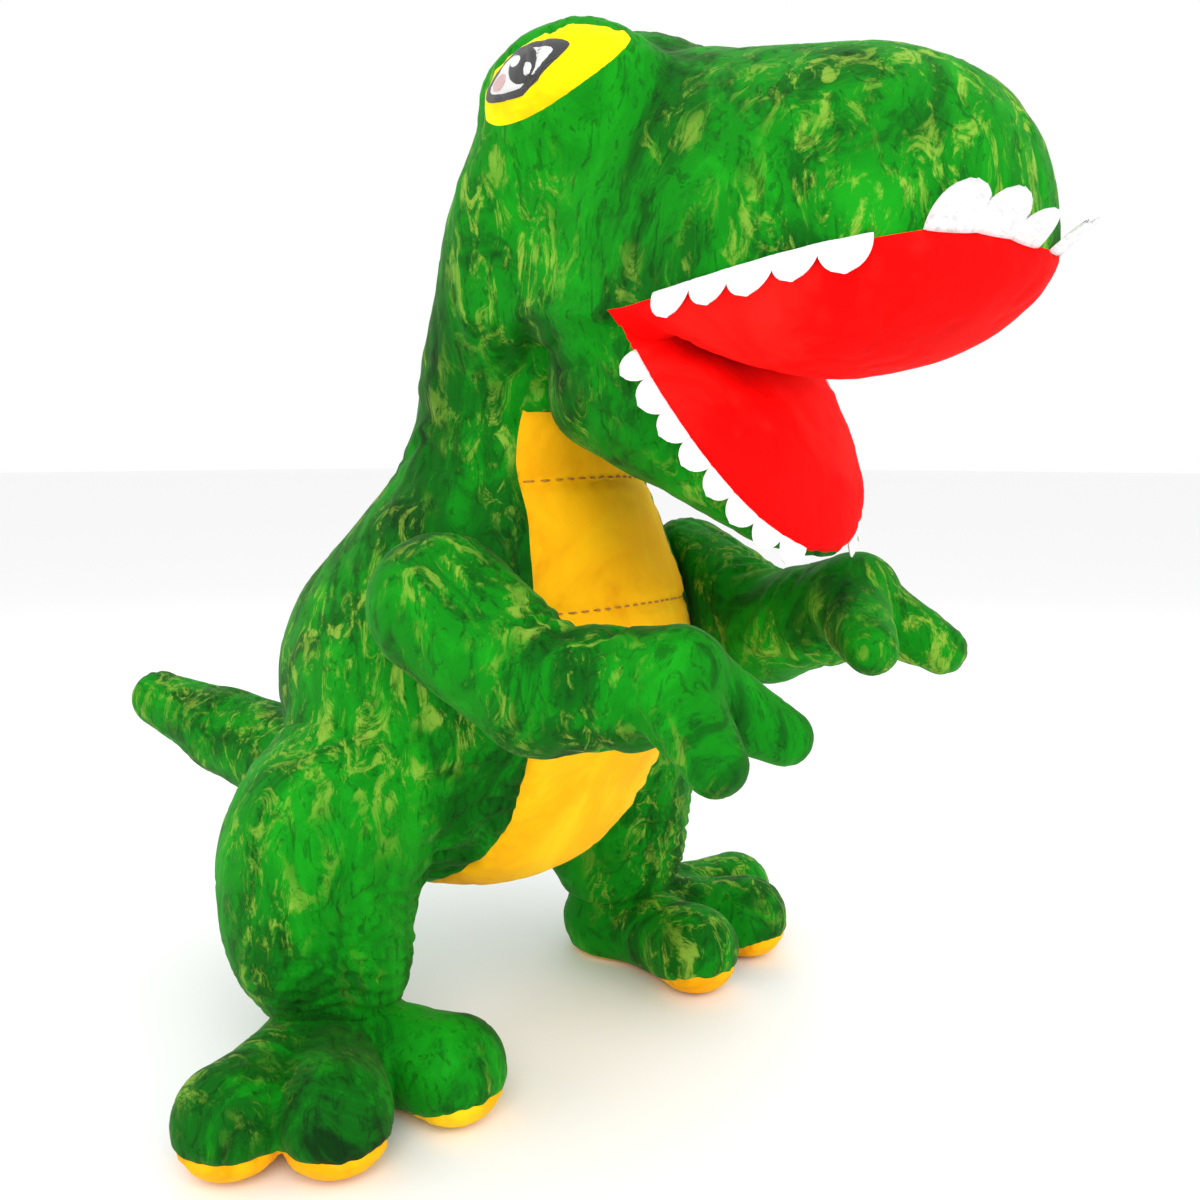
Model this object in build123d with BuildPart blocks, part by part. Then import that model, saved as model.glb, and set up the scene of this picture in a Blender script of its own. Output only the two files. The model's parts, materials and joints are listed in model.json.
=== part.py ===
from build123d import *

import math
import os

# A standing stuffed dinosaur, sewn from short-pile fabric panels over polyester filling.
# Millimetres. +Z up, the dinosaur faces -Y, its left side is +X, and the origin is on the
# floor midway between its feet. Every skin panel is SKIN thick and lies on its filling.

SKIN = 2.5
RUNNING_GAP = 0.5
HUGE = 3000.0

# Torso and neck: height, centre y, half-width, half-depth of each level section.
TORSO_BOTTOM = 105.0
TORSO_SECTIONS = [
    (TORSO_BOTTOM, 15, 45, 45),
    (125, 15, 90, 88),
    (165, 15, 130, 124),
    (215, 12, 156, 148),
    (310, -8, 172, 165),
    (370, -20, 150, 150),
    (435, -35, 123, 116),
    (490, -48, 98, 95),
    (520, -53, 95, 94),
]
NECK_PIVOT_Y = -50.0
NECK_PIVOT_Z = 500.0
NOD_FORWARD = 4.0
NOD_BACK = 6.0
NOTCH_MARGIN = 1.0

# Belly panel seen from the front: height and half-width of its outline.
BELLY_OUTLINE = [(110, 30), (150, 74), (220, 104), (310, 112), (400, 94), (460, 78), (505, 70)]

# Tail: centre and radius of each station, and the flat seam where it is sewn to the torso.
TAIL_STATIONS = [
    ((0, 40, 150), 84),
    ((0, 100, 152), 78),
    ((0, 165, 158), 68),
    ((-12, 260, 174), 55),
    ((-34, 375, 198), 43),
    ((-56, 455, 220), 34),
    ((-64, 490, 230), 20),
    ((-67, 503, 233), 8),
]
TAIL_SEAM_Y = 165.0
TAIL_SWING = 14.0

# Legs: height, centre x, centre y, radius.
ANKLE_Z = 70.0
ANKLE_X = 170.0
ANKLE_RADIUS = 53.0
LEG_SECTIONS = [
    (ANKLE_Z, ANKLE_X, 0, ANKLE_RADIUS),
    (85, 172, 4, 67),
    (120, 175, 9, 74),
    (160, 173, 8, 77),
    (210, 160, 4, 84),
    (255, 136, 0, 76),
    (295, 100, -4, 46),
]

# Feet: toe ends fan out from the ankle; the sole is the panel below SOLE_SEAM_Z.
FOOT_HUB_Z = 30.0
TOE_ENDS = [(294, -52, 36), (244, -104, 36), (140, -124, 36)]
TOE_RADIUS = 40.0
TOE_ROOT_RADIUS = 43.0
TOE_ROOT_SHARE = 0.2
SOLE_SEAM_Z = 14.0

# Head, back part: height, centre y, half-width, half-depth.
SKULL_SECTIONS = [
    (NECK_PIVOT_Z + RUNNING_GAP, -50, 96, 93),
    (545, -68, 99, 99),
    (600, -98, 110, 106),
    (675, -130, 120, 104),
    (739, -156, 106, 84),
    (784, -168, 56, 46),
]
# Head, muzzle: y, lip height, half-width, height above the lip, palate drop below it.
MUZZLE_SECTIONS = [
    (-150, 592, 112, 190, 52),
    (-250, 583, 121, 185, 4),
    (-350, 600, 118, 150, 18),
    (-420, 610, 100, 116, 20),
    (-466, 613, 69, 74, 18),
    (-488, 611, 36, 36, 14),
]
PALATE_START_Y = -252.0
HEAD_SEAM_Y = -190.0
BROW_CENTRE = (84, -176, 740)
BROW_LENGTH = 74.0
BROW_RADIUS = 46.0
PATCH_CENTRE_Z = 738.0
PATCH_LENGTH = 120.0
PATCH_HEIGHT = 50.0
EYE_LENGTH = 66.0
EYE_HEIGHT = 32.0
EYE_THREAD = 1.2

# Jaw: it hangs from the mouth corners, pointing JAW_DROP degrees below level.
JAW_HINGE_Y = -250.0
JAW_HINGE_Z = 580.0
JAW_DROP = 59.0
JAW_OPENING = 2.0
JAW_LINING_SETBACK = 6.0
THROAT_Y = -160.0
JAW_ROOM_TOP = 562.0
# Distance from the hinge, half-width, lining bulge, depth under the lining.
JAW_SECTIONS = [
    (6, 115, 4, 84),
    (40, 114, 10, 68),
    (88, 104, 14, 47),
    (132, 84, 14, 30),
    (163, 52, 10, 16),
    (176, 24, 5, 8),
]

# Teeth: scallops of felt, FELT thick, sewn into the lip seams.
FELT = 2.6
TOOTH_WIDTH = 25.0
TOOTH_LENGTH = 19.0
TOOTH_PITCH = 26.0
UPPER_SIDE_START = 42.0
UPPER_SIDE_COUNT = 5
UPPER_FRONT_START = 215.0
UPPER_FRONT_COUNT = 3
LOWER_START = 20.0
LOWER_COUNT = 8

# Arms: centre and radius of each station of the right arm, mirrored for the left one.
# Each arm lies outside a plane that touches the torso and swings parallel to it.
SHOULDER = (135, -108, 388)
ARM_PLANE_NORMAL = (0.816, -0.54, 0.19)
ARM_LINKS = [
    ((142, -104, 384), 54, (134, -198, 334), 46),
    ((134, -198, 334), 46, (118, -262, 341), 40),
    ((118, -262, 341), 40, (112, -296, 352), 34),
]
FINGER_LINKS = [
    ((112, -292, 350), 34, (138, -343, 318), 23),
    ((112, -292, 350), 34, (65, -339, 320), 22),
]
LEFT_ARM_LIFT = 11.0
ARM_CLEARANCE = 5.0


def level_loft(sections, inset, end_inset):
    """Solid through level ellipses; inset shrinks it all round, end_inset at the low end."""
    with BuildPart() as form:
        for index, (height, y, half_width, half_depth) in enumerate(sections):
            lift = end_inset if index == 0 else 0
            with BuildSketch(Plane((0, y, height + lift))):
                Ellipse(half_width - inset, half_depth - inset)
        loft()
    return form.part


def tail_body(inset):
    """Solid through the round sections of the tail, each square to its curve."""
    centres = [Vector(*centre) for centre, _ in TAIL_STATIONS]
    last = len(centres) - 1
    with BuildPart() as form:
        for index, (_, radius) in enumerate(TAIL_STATIONS):
            ahead = centres[min(index + 1, last)] - centres[max(index - 1, 0)]
            pull = inset if index == last else 0
            origin = centres[index] - ahead.normalized() * pull
            with BuildSketch(Plane(origin=origin, z_dir=ahead)):
                Circle(radius - inset)
        loft()
    return form.part


def round_cone(start, start_radius, end, end_radius):
    """Two balls and the cone that wraps them."""
    start = Vector(*start)
    axis = Vector(*end) - start
    length = axis.length
    tilt = math.asin((start_radius - end_radius) / length)
    rise, run = math.cos(tilt), math.sin(tilt)
    side = Vector(0, 0, 1).cross(axis.normalized())
    if side.length < 0.01:
        side = Vector(0, 1, 0)
    middle = tilt / 2 + math.pi / 4
    with BuildPart() as cone:
        with BuildSketch(Plane(origin=start, x_dir=axis, z_dir=side)):
            with BuildLine():
                low = ThreePointArc(
                    (-start_radius, 0),
                    (-start_radius * math.cos(math.pi / 4), start_radius * math.sin(math.pi / 4)),
                    (start_radius * run, start_radius * rise),
                )
                high = ThreePointArc(
                    (length + end_radius * run, end_radius * rise),
                    (length + end_radius * math.sin(middle), end_radius * math.cos(middle)),
                    (length + end_radius, 0),
                )
                Line(low @ 1, high @ 0)
                Line(high @ 1, low @ 0)
            make_face()
        revolve(axis=Axis(start, axis))
    return cone.part


def block(low, high):
    """Box between two corners."""
    size = [b - a for a, b in zip(low, high)]
    middle = [(a + b) / 2 for a, b in zip(low, high)]
    with BuildPart(Plane(middle)) as box:
        Box(*size)
    return box.part


def half_space(point, normal):
    """Very large block on the side of a plane that its normal points to."""
    with BuildPart(Plane(origin=point, z_dir=normal)) as side:
        Box(HUGE, HUGE, HUGE, align=(Align.CENTER, Align.CENTER, Align.MIN))
    return side.part


def finish(name, node):
    """Label one sub-part and write it."""
    node.part.label = name
    export_step(node.part, "parts/" + name + ".step")


os.makedirs("parts", exist_ok=True)

right_half = block((-HUGE, -HUGE, -HUGE), (0, HUGE, HUGE))
left_half = block((0, -HUGE, -HUGE), (HUGE, HUGE, HUGE))
halves = {"right": right_half, "left": left_half}
side_sign = {"right": -1, "left": 1}


# ---- Torso -------------------------------------------------------------------------------

def torso_form(inset):
    """Torso, neck and the root of the tail, cut to a roof under the head."""
    front = math.radians(NOD_FORWARD + NOTCH_MARGIN)
    back = math.radians(NOD_BACK + NOTCH_MARGIN)
    pivot = (0, NECK_PIVOT_Y, NECK_PIVOT_Z)
    with BuildPart() as form:
        add(level_loft(TORSO_SECTIONS, inset, inset))
        add(tail_body(inset))
        add(half_space((0, TAIL_SEAM_Y, 0), (0, 1, 0)), mode=Mode.SUBTRACT)
        add(half_space(pivot, (0, -math.sin(front), math.cos(front))), mode=Mode.SUBTRACT)
        add(half_space(pivot, (0, math.sin(back), math.cos(back))), mode=Mode.SUBTRACT)
    return form.part


torso_outer = torso_form(0)
torso_inner = torso_form(SKIN)

with BuildPart() as belly_cutter:
    with BuildSketch(Plane.XZ):
        with BuildLine():
            side_points = [(half_width, height) for height, half_width in BELLY_OUTLINE]
            belly_side = Spline(*side_points)
            belly_other_side = mirror(belly_side, about=Plane.YZ)
            Line(belly_side @ 0, belly_other_side @ 0)
            Line(belly_side @ 1, belly_other_side @ 1)
        make_face()
    extrude(amount=HUGE / 2)

with BuildPart() as torso_stuffing:
    add(torso_inner)
finish("torso_stuffing", torso_stuffing)

with BuildPart() as belly_panel:
    add(torso_outer)
    add(torso_inner, mode=Mode.SUBTRACT)
    add(belly_cutter.part, mode=Mode.INTERSECT)
finish("belly_panel", belly_panel)

for side, half in halves.items():
    with BuildPart() as torso_skin:
        add(torso_outer)
        add(torso_inner, mode=Mode.SUBTRACT)
        add(belly_cutter.part, mode=Mode.SUBTRACT)
        add(half, mode=Mode.INTERSECT)
    finish("torso_skin_" + side, torso_skin)


# ---- Legs and feet -----------------------------------------------------------------------

def leg_form(sign, inset):
    """Thigh and shank of one leg, outside the torso."""
    with BuildPart() as form:
        for height, x, y, radius in LEG_SECTIONS:
            with BuildSketch(Plane((sign * x, y, height))):
                Circle(radius - inset)
        loft()
        add(torso_outer, mode=Mode.SUBTRACT)
    return form.part


def foot_form(sign, inset):
    """Three fat toes and the ankle of one foot, flat underneath."""
    hub = Vector(sign * ANKLE_X, 2, FOOT_HUB_Z)
    ankle = Vector(sign * ANKLE_X, 0, ANKLE_Z)
    form = round_cone(hub, ANKLE_RADIUS + 2 - inset, ankle, ANKLE_RADIUS - inset)
    for x, y, z in TOE_ENDS:
        toe_end = Vector(sign * x, y, z)
        toe_root = hub + (toe_end - hub) * TOE_ROOT_SHARE
        form += round_cone(toe_root, TOE_ROOT_RADIUS - inset, toe_end, TOE_RADIUS - inset)
    return form & block((-HUGE, -HUGE, inset), (HUGE, HUGE, ANKLE_Z))


above_sole = block((-HUGE, -HUGE, SOLE_SEAM_Z), (HUGE, HUGE, HUGE))

for side, sign in side_sign.items():
    leg_outer = leg_form(sign, 0)
    leg_inner = leg_form(sign, SKIN)
    foot_outer = foot_form(sign, 0)
    foot_inner = foot_form(sign, SKIN)

    with BuildPart() as leg_stuffing:
        add(leg_inner)
    finish("leg_stuffing_" + side, leg_stuffing)

    with BuildPart() as leg_skin:
        add(leg_outer)
        add(leg_inner, mode=Mode.SUBTRACT)
    finish("leg_skin_" + side, leg_skin)

    with BuildPart() as foot_stuffing:
        add(foot_inner)
    finish("foot_stuffing_" + side, foot_stuffing)

    with BuildPart() as foot_upper:
        add(foot_outer)
        add(foot_inner, mode=Mode.SUBTRACT)
        add(above_sole, mode=Mode.INTERSECT)
    finish("foot_upper_" + side, foot_upper)

    with BuildPart() as foot_sole:
        add(foot_outer)
        add(foot_inner, mode=Mode.SUBTRACT)
        add(above_sole, mode=Mode.SUBTRACT)
    finish("foot_sole_" + side, foot_sole)


# ---- Tail --------------------------------------------------------------------------------

def tail_form(inset):
    """Tail beyond its seam, with a blunt wedge at the root that leaves room to swing."""
    lean = math.radians(TAIL_SWING + NOTCH_MARGIN)
    root = (0, TAIL_SEAM_Y + RUNNING_GAP, 0)
    with BuildPart() as form:
        add(tail_body(inset))
        for sign in (-1, 1):
            add(half_space(root, (sign * math.sin(lean), -math.cos(lean), 0)), mode=Mode.SUBTRACT)
    return form.part


tail_outer = tail_form(0)
tail_inner = tail_form(SKIN)

with BuildPart() as tail_stuffing:
    add(tail_inner)
finish("tail_stuffing", tail_stuffing)

with BuildPart() as tail_skin:
    add(tail_outer)
    add(tail_inner, mode=Mode.SUBTRACT)
finish("tail_skin", tail_skin)


# ---- Head --------------------------------------------------------------------------------

jaw_along = Vector(0, -math.cos(math.radians(JAW_DROP)), -math.sin(math.radians(JAW_DROP)))
jaw_down = Vector(0, math.sin(math.radians(JAW_DROP)), -math.cos(math.radians(JAW_DROP)))
jaw_hinge = Vector(0, JAW_HINGE_Y, JAW_HINGE_Z)


def brow_form(sign, grow):
    """Egg-shaped brow that carries one eye, its long axis along Y."""
    x, y, z = BROW_CENTRE
    with BuildPart() as form:
        with BuildSketch(Plane(origin=(sign * x, y, z), x_dir=(0, 1, 0), z_dir=(1, 0, 0))):
            with BuildLine():
                crown = EllipticalCenterArc(
                    (0, 0), BROW_LENGTH + grow, BROW_RADIUS + grow, start_angle=0, arc_size=180
                )
                Line(crown @ 1, crown @ 0)
            make_face()
        revolve(axis=Axis((sign * x, y, z), (0, 1, 0)))
    return form.part


def muzzle_form(inset):
    """Muzzle: a domed top over a palate that bulges a little below the lips."""
    last = len(MUZZLE_SECTIONS) - 1
    with BuildPart() as form:
        for index, (y, lip, half_width, above, below) in enumerate(MUZZLE_SECTIONS):
            pull = inset if index == last else 0
            level = Plane(origin=(0, y + pull, lip), x_dir=(1, 0, 0), z_dir=(0, -1, 0))
            width = half_width - inset
            with BuildSketch(level):
                with BuildLine():
                    EllipticalCenterArc((0, 0), width, above - inset, start_angle=0, arc_size=180)
                    EllipticalCenterArc((0, 0), width, below - inset, start_angle=180, arc_size=180)
                make_face()
        loft()
    return form.part


clearance = math.radians(JAW_OPENING + NOTCH_MARGIN)
with BuildPart() as jaw_room:
    add(half_space(jaw_hinge, jaw_along * math.cos(clearance) + jaw_down * math.sin(clearance)))
    add(block((-HUGE, -HUGE, -HUGE), (HUGE, THROAT_Y, JAW_ROOM_TOP)), mode=Mode.INTERSECT)


def head_form(inset):
    """Skull, muzzle and brows, cut away where the jaw hangs."""
    with BuildPart() as form:
        add(level_loft(SKULL_SECTIONS, inset, 0))
        add(muzzle_form(inset))
        for sign in side_sign.values():
            add(brow_form(sign, -inset))
        add(jaw_room.part, mode=Mode.SUBTRACT)
    return form.part


head_outer = head_form(0)
head_inner = head_form(SKIN)

with BuildPart() as below_lips:
    lip_low = Vector(0, MUZZLE_SECTIONS[1][0], MUZZLE_SECTIONS[1][1])
    lip_high = Vector(0, MUZZLE_SECTIONS[4][0], MUZZLE_SECTIONS[4][1])
    lip_slope = lip_high - lip_low
    add(half_space(lip_low, (0, -lip_slope.Z, lip_slope.Y)))
    add(block((-HUGE, -HUGE, -HUGE), (HUGE, PALATE_START_Y, HUGE)), mode=Mode.INTERSECT)


def brow_window(sign, length, height):
    """Rod along X with an oval section, over the outer side of one brow."""
    x, y, _ = BROW_CENTRE
    with BuildPart() as rod:
        with BuildSketch(Plane(origin=(sign * x, y, PATCH_CENTRE_Z), x_dir=(0, 1, 0), z_dir=(sign, 0, 0))):
            Ellipse(length / 2, height / 2)
        extrude(amount=BROW_RADIUS * 2)
    return rod.part


windows = {side: brow_window(sign, PATCH_LENGTH, PATCH_HEIGHT) for side, sign in side_sign.items()}

with BuildPart() as head_stuffing:
    add(head_inner)
finish("head_stuffing", head_stuffing)

with BuildPart() as palate_lining:
    add(head_outer)
    add(head_inner, mode=Mode.SUBTRACT)
    add(below_lips.part, mode=Mode.INTERSECT)
finish("palate_lining", palate_lining)

behind_seam = half_space((0, HEAD_SEAM_Y, 0), (0, 1, 0))

for side, half in halves.items():
    with BuildPart() as neck_skin:
        add(head_outer)
        add(head_inner, mode=Mode.SUBTRACT)
        add(windows[side], mode=Mode.SUBTRACT)
        add(half, mode=Mode.INTERSECT)
        add(behind_seam, mode=Mode.INTERSECT)
    finish("neck_skin_" + side, neck_skin)

    with BuildPart() as muzzle_skin:
        add(head_outer)
        add(head_inner, mode=Mode.SUBTRACT)
        add(windows[side], mode=Mode.SUBTRACT)
        add(below_lips.part, mode=Mode.SUBTRACT)
        add(half, mode=Mode.INTERSECT)
        add(behind_seam, mode=Mode.SUBTRACT)
    finish("muzzle_skin_" + side, muzzle_skin)

    with BuildPart() as eye_patch:
        add(head_outer)
        add(head_inner, mode=Mode.SUBTRACT)
        add(windows[side], mode=Mode.INTERSECT)
    finish("eye_patch_" + side, eye_patch)

    with BuildPart() as eye_embroidery:
        add(brow_form(side_sign[side], EYE_THREAD))
        add(head_outer, mode=Mode.SUBTRACT)
        add(brow_window(side_sign[side], EYE_LENGTH, EYE_HEIGHT), mode=Mode.INTERSECT)
    finish("eye_embroidery_" + side, eye_embroidery)


# ---- Jaw ---------------------------------------------------------------------------------

def jaw_form(inset):
    """Lower jaw: a wedge that tapers from the mouth corners to its rounded tip."""
    last = len(JAW_SECTIONS) - 1
    with BuildPart() as form:
        for index, (along, half_width, bulge, depth) in enumerate(JAW_SECTIONS):
            pull = inset if index == last else 0
            origin = jaw_hinge + jaw_along * (along - pull) + jaw_down * JAW_LINING_SETBACK
            width = half_width - inset
            with BuildSketch(Plane(origin=origin, x_dir=(1, 0, 0), z_dir=jaw_along)):
                with BuildLine():
                    EllipticalCenterArc((0, 0), width, bulge - inset, start_angle=0, arc_size=180)
                    EllipticalCenterArc((0, 0), width, depth - inset, start_angle=180, arc_size=180)
                make_face()
        loft()
    return form.part


jaw_outer = jaw_form(0)
jaw_inner = jaw_form(SKIN)
lining_side = half_space(jaw_hinge + jaw_down * JAW_LINING_SETBACK, -jaw_down)

with BuildPart() as jaw_stuffing:
    add(jaw_inner)
finish("jaw_stuffing", jaw_stuffing)

with BuildPart() as jaw_lining:
    add(jaw_outer)
    add(jaw_inner, mode=Mode.SUBTRACT)
    add(lining_side, mode=Mode.INTERSECT)
finish("jaw_lining", jaw_lining)

with BuildPart() as jaw_skin:
    add(jaw_outer)
    add(jaw_inner, mode=Mode.SUBTRACT)
    add(lining_side, mode=Mode.SUBTRACT)
finish("jaw_skin", jaw_skin)


# ---- Teeth -------------------------------------------------------------------------------

def scallop(origin, along, hang):
    """One felt tooth: half an oval plate that hangs from its straight edge."""
    face = Plane(origin=origin, x_dir=along, z_dir=along.cross(hang))
    with BuildPart() as tooth:
        with BuildSketch(face):
            Ellipse(TOOTH_WIDTH / 2, TOOTH_LENGTH)
            Rectangle(TOOTH_WIDTH, TOOTH_LENGTH, align=(Align.CENTER, Align.MAX), mode=Mode.SUBTRACT)
        extrude(amount=FELT / 2, both=True)
    return tooth.part


def lip_curve(points):
    """Lip seam from the right mouth corner round the front to the left one."""
    with BuildLine() as lip:
        Spline(*[(-x, y, z) for x, y, z in points], *[(x, y, z) for x, y, z in reversed(points)])
    return lip.edge()


upper_lip = lip_curve([(width, y, lip) for y, lip, width, _, _ in MUZZLE_SECTIONS[1:]])
jaw_rim = []
for along, half_width, _, _ in JAW_SECTIONS:
    rim = jaw_hinge + jaw_along * along + jaw_down * JAW_LINING_SETBACK
    jaw_rim.append((half_width, rim.Y, rim.Z))
lower_lip = lip_curve(jaw_rim)


def teeth_along(lip, first, count, outward_share, drop):
    """Scallops on both sides of a lip, from a distance past the corner, pointing out and down."""
    for index in range(count):
        for sign in side_sign.values():
            travel = (first + index * TOOTH_PITCH) / lip.length
            place = travel if sign < 0 else 1 - travel
            along = lip % place
            outward = drop.cross(along).normalized()
            hang = outward * outward_share + drop * (1 - outward_share)
            base = (lip @ place) + outward * FELT
            add(scallop(base, along, hang.normalized()))


with BuildPart() as upper_teeth:
    teeth_along(upper_lip, UPPER_SIDE_START, UPPER_SIDE_COUNT, 0.2, Vector(0, 0, -1))
    teeth_along(upper_lip, UPPER_FRONT_START, UPPER_FRONT_COUNT, 0.9, Vector(0, 0, -1))
    add(head_outer, mode=Mode.SUBTRACT)
finish("upper_teeth", upper_teeth)

with BuildPart() as lower_teeth:
    teeth_along(lower_lip, LOWER_START, LOWER_COUNT, 0.6, jaw_down)
    add(jaw_outer, mode=Mode.SUBTRACT)
finish("lower_teeth", lower_teeth)


# ---- Arms --------------------------------------------------------------------------------

arm_axis = Vector(*ARM_PLANE_NORMAL).normalized()
torso_reach = max(
    math.hypot(half_width * arm_axis.X, half_depth * arm_axis.Y) + y * arm_axis.Y + height * arm_axis.Z
    for height, y, half_width, half_depth in TORSO_SECTIONS
)
inside_arm_plane = half_space(arm_axis * (torso_reach + ARM_CLEARANCE), -arm_axis)


def arm_form(inset):
    """Upper arm, forearm, hand and two fingers of the left arm, hanging as the right one does."""
    with BuildPart() as form:
        for start, start_radius, end, end_radius in ARM_LINKS + FINGER_LINKS:
            add(round_cone(start, start_radius - inset, end, end_radius - inset))
        add(inside_arm_plane, mode=Mode.SUBTRACT)
    return form.part


arm_outer = arm_form(0)
arm_inner = arm_form(SKIN)
shoulder_axis = Axis(SHOULDER, arm_axis)
arm_pairs = {
    "right": (mirror(arm_outer, about=Plane.YZ), mirror(arm_inner, about=Plane.YZ)),
    "left": (
        arm_outer.rotate(shoulder_axis, -LEFT_ARM_LIFT),
        arm_inner.rotate(shoulder_axis, -LEFT_ARM_LIFT),
    ),
}

for side, (outer, inner) in arm_pairs.items():
    with BuildPart() as arm_stuffing:
        add(inner)
    finish("arm_stuffing_" + side, arm_stuffing)

    with BuildPart() as arm_skin:
        add(outer)
        add(inner, mode=Mode.SUBTRACT)
    finish("arm_skin_" + side, arm_skin)
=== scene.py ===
import json
import math
import random

import bmesh
import bpy
import numpy as np
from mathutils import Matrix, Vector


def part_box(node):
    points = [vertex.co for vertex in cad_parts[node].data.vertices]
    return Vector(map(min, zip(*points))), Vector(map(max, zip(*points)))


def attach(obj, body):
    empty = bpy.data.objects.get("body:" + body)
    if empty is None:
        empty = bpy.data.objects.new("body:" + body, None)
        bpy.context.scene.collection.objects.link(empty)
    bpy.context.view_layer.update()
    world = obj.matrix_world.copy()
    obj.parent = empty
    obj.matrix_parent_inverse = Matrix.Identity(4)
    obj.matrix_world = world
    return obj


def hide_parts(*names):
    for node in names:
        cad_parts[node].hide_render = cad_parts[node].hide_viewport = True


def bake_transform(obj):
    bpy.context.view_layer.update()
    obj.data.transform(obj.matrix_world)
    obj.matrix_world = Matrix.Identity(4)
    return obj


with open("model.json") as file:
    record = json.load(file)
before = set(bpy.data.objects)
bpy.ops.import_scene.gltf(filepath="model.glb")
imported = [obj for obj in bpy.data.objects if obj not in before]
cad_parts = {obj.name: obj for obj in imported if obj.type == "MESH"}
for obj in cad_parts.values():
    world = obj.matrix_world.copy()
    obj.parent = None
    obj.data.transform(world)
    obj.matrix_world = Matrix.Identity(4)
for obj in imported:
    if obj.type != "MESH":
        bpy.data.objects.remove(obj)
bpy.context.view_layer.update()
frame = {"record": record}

import openvdb
from mathutils import Matrix, Vector, noise
from mathutils.bvhtree import BVHTree

# A stuffed dinosaur. Shapes are worked out in millimetres from the frame's joints and boxes,
# and written into the meshes in metres. +Z up, it faces -Y, its left side is +X.

MM = 0.001
VOXEL = 4.0
FINE_VOXEL = 3.0
SEAM_ROUNDS = 3
SEAM_REACH = 2.6
random.seed(4)

joints = {joint["name"]: joint for joint in frame["record"]["behaviour"]["joints"]}


def joint_mm(name):
    """Where a joint is, in millimetres."""
    return Vector(joints[name]["pos_m"]) / MM


def box_mm(node):
    """Lowest and highest corner of a CAD node, in millimetres."""
    low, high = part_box(node)
    return Vector(low) / MM, Vector(high) / MM


neck = joint_mm("head_nod")
jaw_hinge = joint_mm("jaw_flex")
tail_root = joint_mm("tail_sway")
shoulder = joint_mm("arm_left_swing")
head_low, _ = box_mm("head_stuffing")
floor_z = box_mm("foot_sole_left")[0].z


# ---- Fields: negative inside, roughly millimetres from the surface ------------------------

FAR_AWAY = 60


def eased(sections, column, at):
    """Smooth curve through one column of a table of sections."""
    table = np.array(sections, float)
    key, value = table[:, 0], table[:, column]
    rise = np.diff(value) / np.diff(key)
    slope = np.concatenate([[rise[0]], np.zeros(len(key) - 2), [rise[-1]]])
    same_way = rise[:-1] * rise[1:] > 0
    slope[1:-1][same_way] = 2 / (1 / rise[:-1][same_way] + 1 / rise[1:][same_way])
    index = np.clip(np.searchsorted(key, at) - 1, 0, len(key) - 2)
    span = key[index + 1] - key[index]
    t = np.clip((at - key[index]) / span, 0, 1)
    low, high = value[index], value[index + 1]
    pull_low, pull_high = slope[index] * span, slope[index + 1] * span
    return (
        low * (1 + 2 * t) * (1 - t) ** 2
        + pull_low * t * (1 - t) ** 2
        + high * t * t * (3 - 2 * t)
        + pull_high * t * t * (t - 1)
    )


def joined(one, other, softness):
    """Union of two fields with a rounded valley."""
    share = np.clip(0.5 + 0.5 * (other - one) / softness, 0, 1)
    return other + (one - other) * share - softness * share * (1 - share)


def kept(one, other, softness):
    """What two fields share, with a rounded edge."""
    return -joined(-one, -other, softness)


def between(field, sections, at):
    """Field cut off at the first and last section of its table."""
    return np.maximum(np.maximum(field, sections[0][0] - at), at - sections[-1][0])


def link(p, start, start_radius, end, end_radius):
    """Ball-ended cone between two points."""
    x, y, z = p
    axis = [b - a for a, b in zip(start, end)]
    length = sum(c * c for c in axis)
    along = ((x - start[0]) * axis[0] + (y - start[1]) * axis[1] + (z - start[2]) * axis[2]) / length
    along = np.clip(along, 0, 1)
    away = np.sqrt(
        (x - start[0] - axis[0] * along) ** 2
        + (y - start[1] - axis[1] * along) ** 2
        + (z - start[2] - axis[2] * along) ** 2
    )
    return away - (start_radius + (end_radius - start_radius) * along)


def egg(p, centre, radii):
    """Ellipsoid."""
    x, y, z = [(c - m) / r for c, m, r in zip(p, centre, radii)]
    return (np.sqrt(x * x + y * y + z * z) - 1) * min(radii)


# Level sections of torso, neck and skull: height, centre y, half-width, half-depth.
COLUMN = [
    (124, 18, 8, 8),
    (126, 18, 40, 40),
    (134, 17, 74, 72),
    (150, 15, 104, 101),
    (174, 14, 128, 123),
    (215, 12, 153, 148),
    (310, 4, 172, 184),
    (370, -4, 157, 174),
    (435, -29, 130, 127),
    (490, -46, 100, 98),
    (520, -56, 96, 95),
    (550, -68, 100, 99),
    (600, -98, 110, 106),
    (675, -130, 120, 104),
    (739, -156, 106, 84),
    (772, -166, 74, 58),
    (786, -170, 34, 28),
    (790, -171, 8, 8),
]


def column_field(p):
    """Torso, neck and skull."""
    x, y, z = p
    middle = eased(COLUMN, 1, z)
    half_width = np.maximum(eased(COLUMN, 2, z), 6)
    half_depth = np.maximum(eased(COLUMN, 3, z), 6)
    ring = np.sqrt((x / half_width) ** 2 + ((y - middle) / half_depth) ** 2) - 1
    return between(ring * np.minimum(half_width, half_depth), COLUMN, z)


# Muzzle, by distance forward of the neck plane: lip height, half-width, crown, palate bulge.
MUZZLE = [
    (100, 592, 112, 190, 40),
    (150, 592, 113, 189, 34),
    (250, 583, 121, 184, 8),
    (285, 588, 121, 169, 36),
    (335, 597, 117, 152, 56),
    (385, 606, 107, 134, 60),
    (425, 612, 90, 111, 52),
    (450, 615, 70, 86, 40),
    (466, 614, 46, 58, 27),
    (474, 611, 20, 24, 12),
    (476, 610, 6, 6, 4),
]
CROWN_SQUARENESS = 2.25


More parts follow.
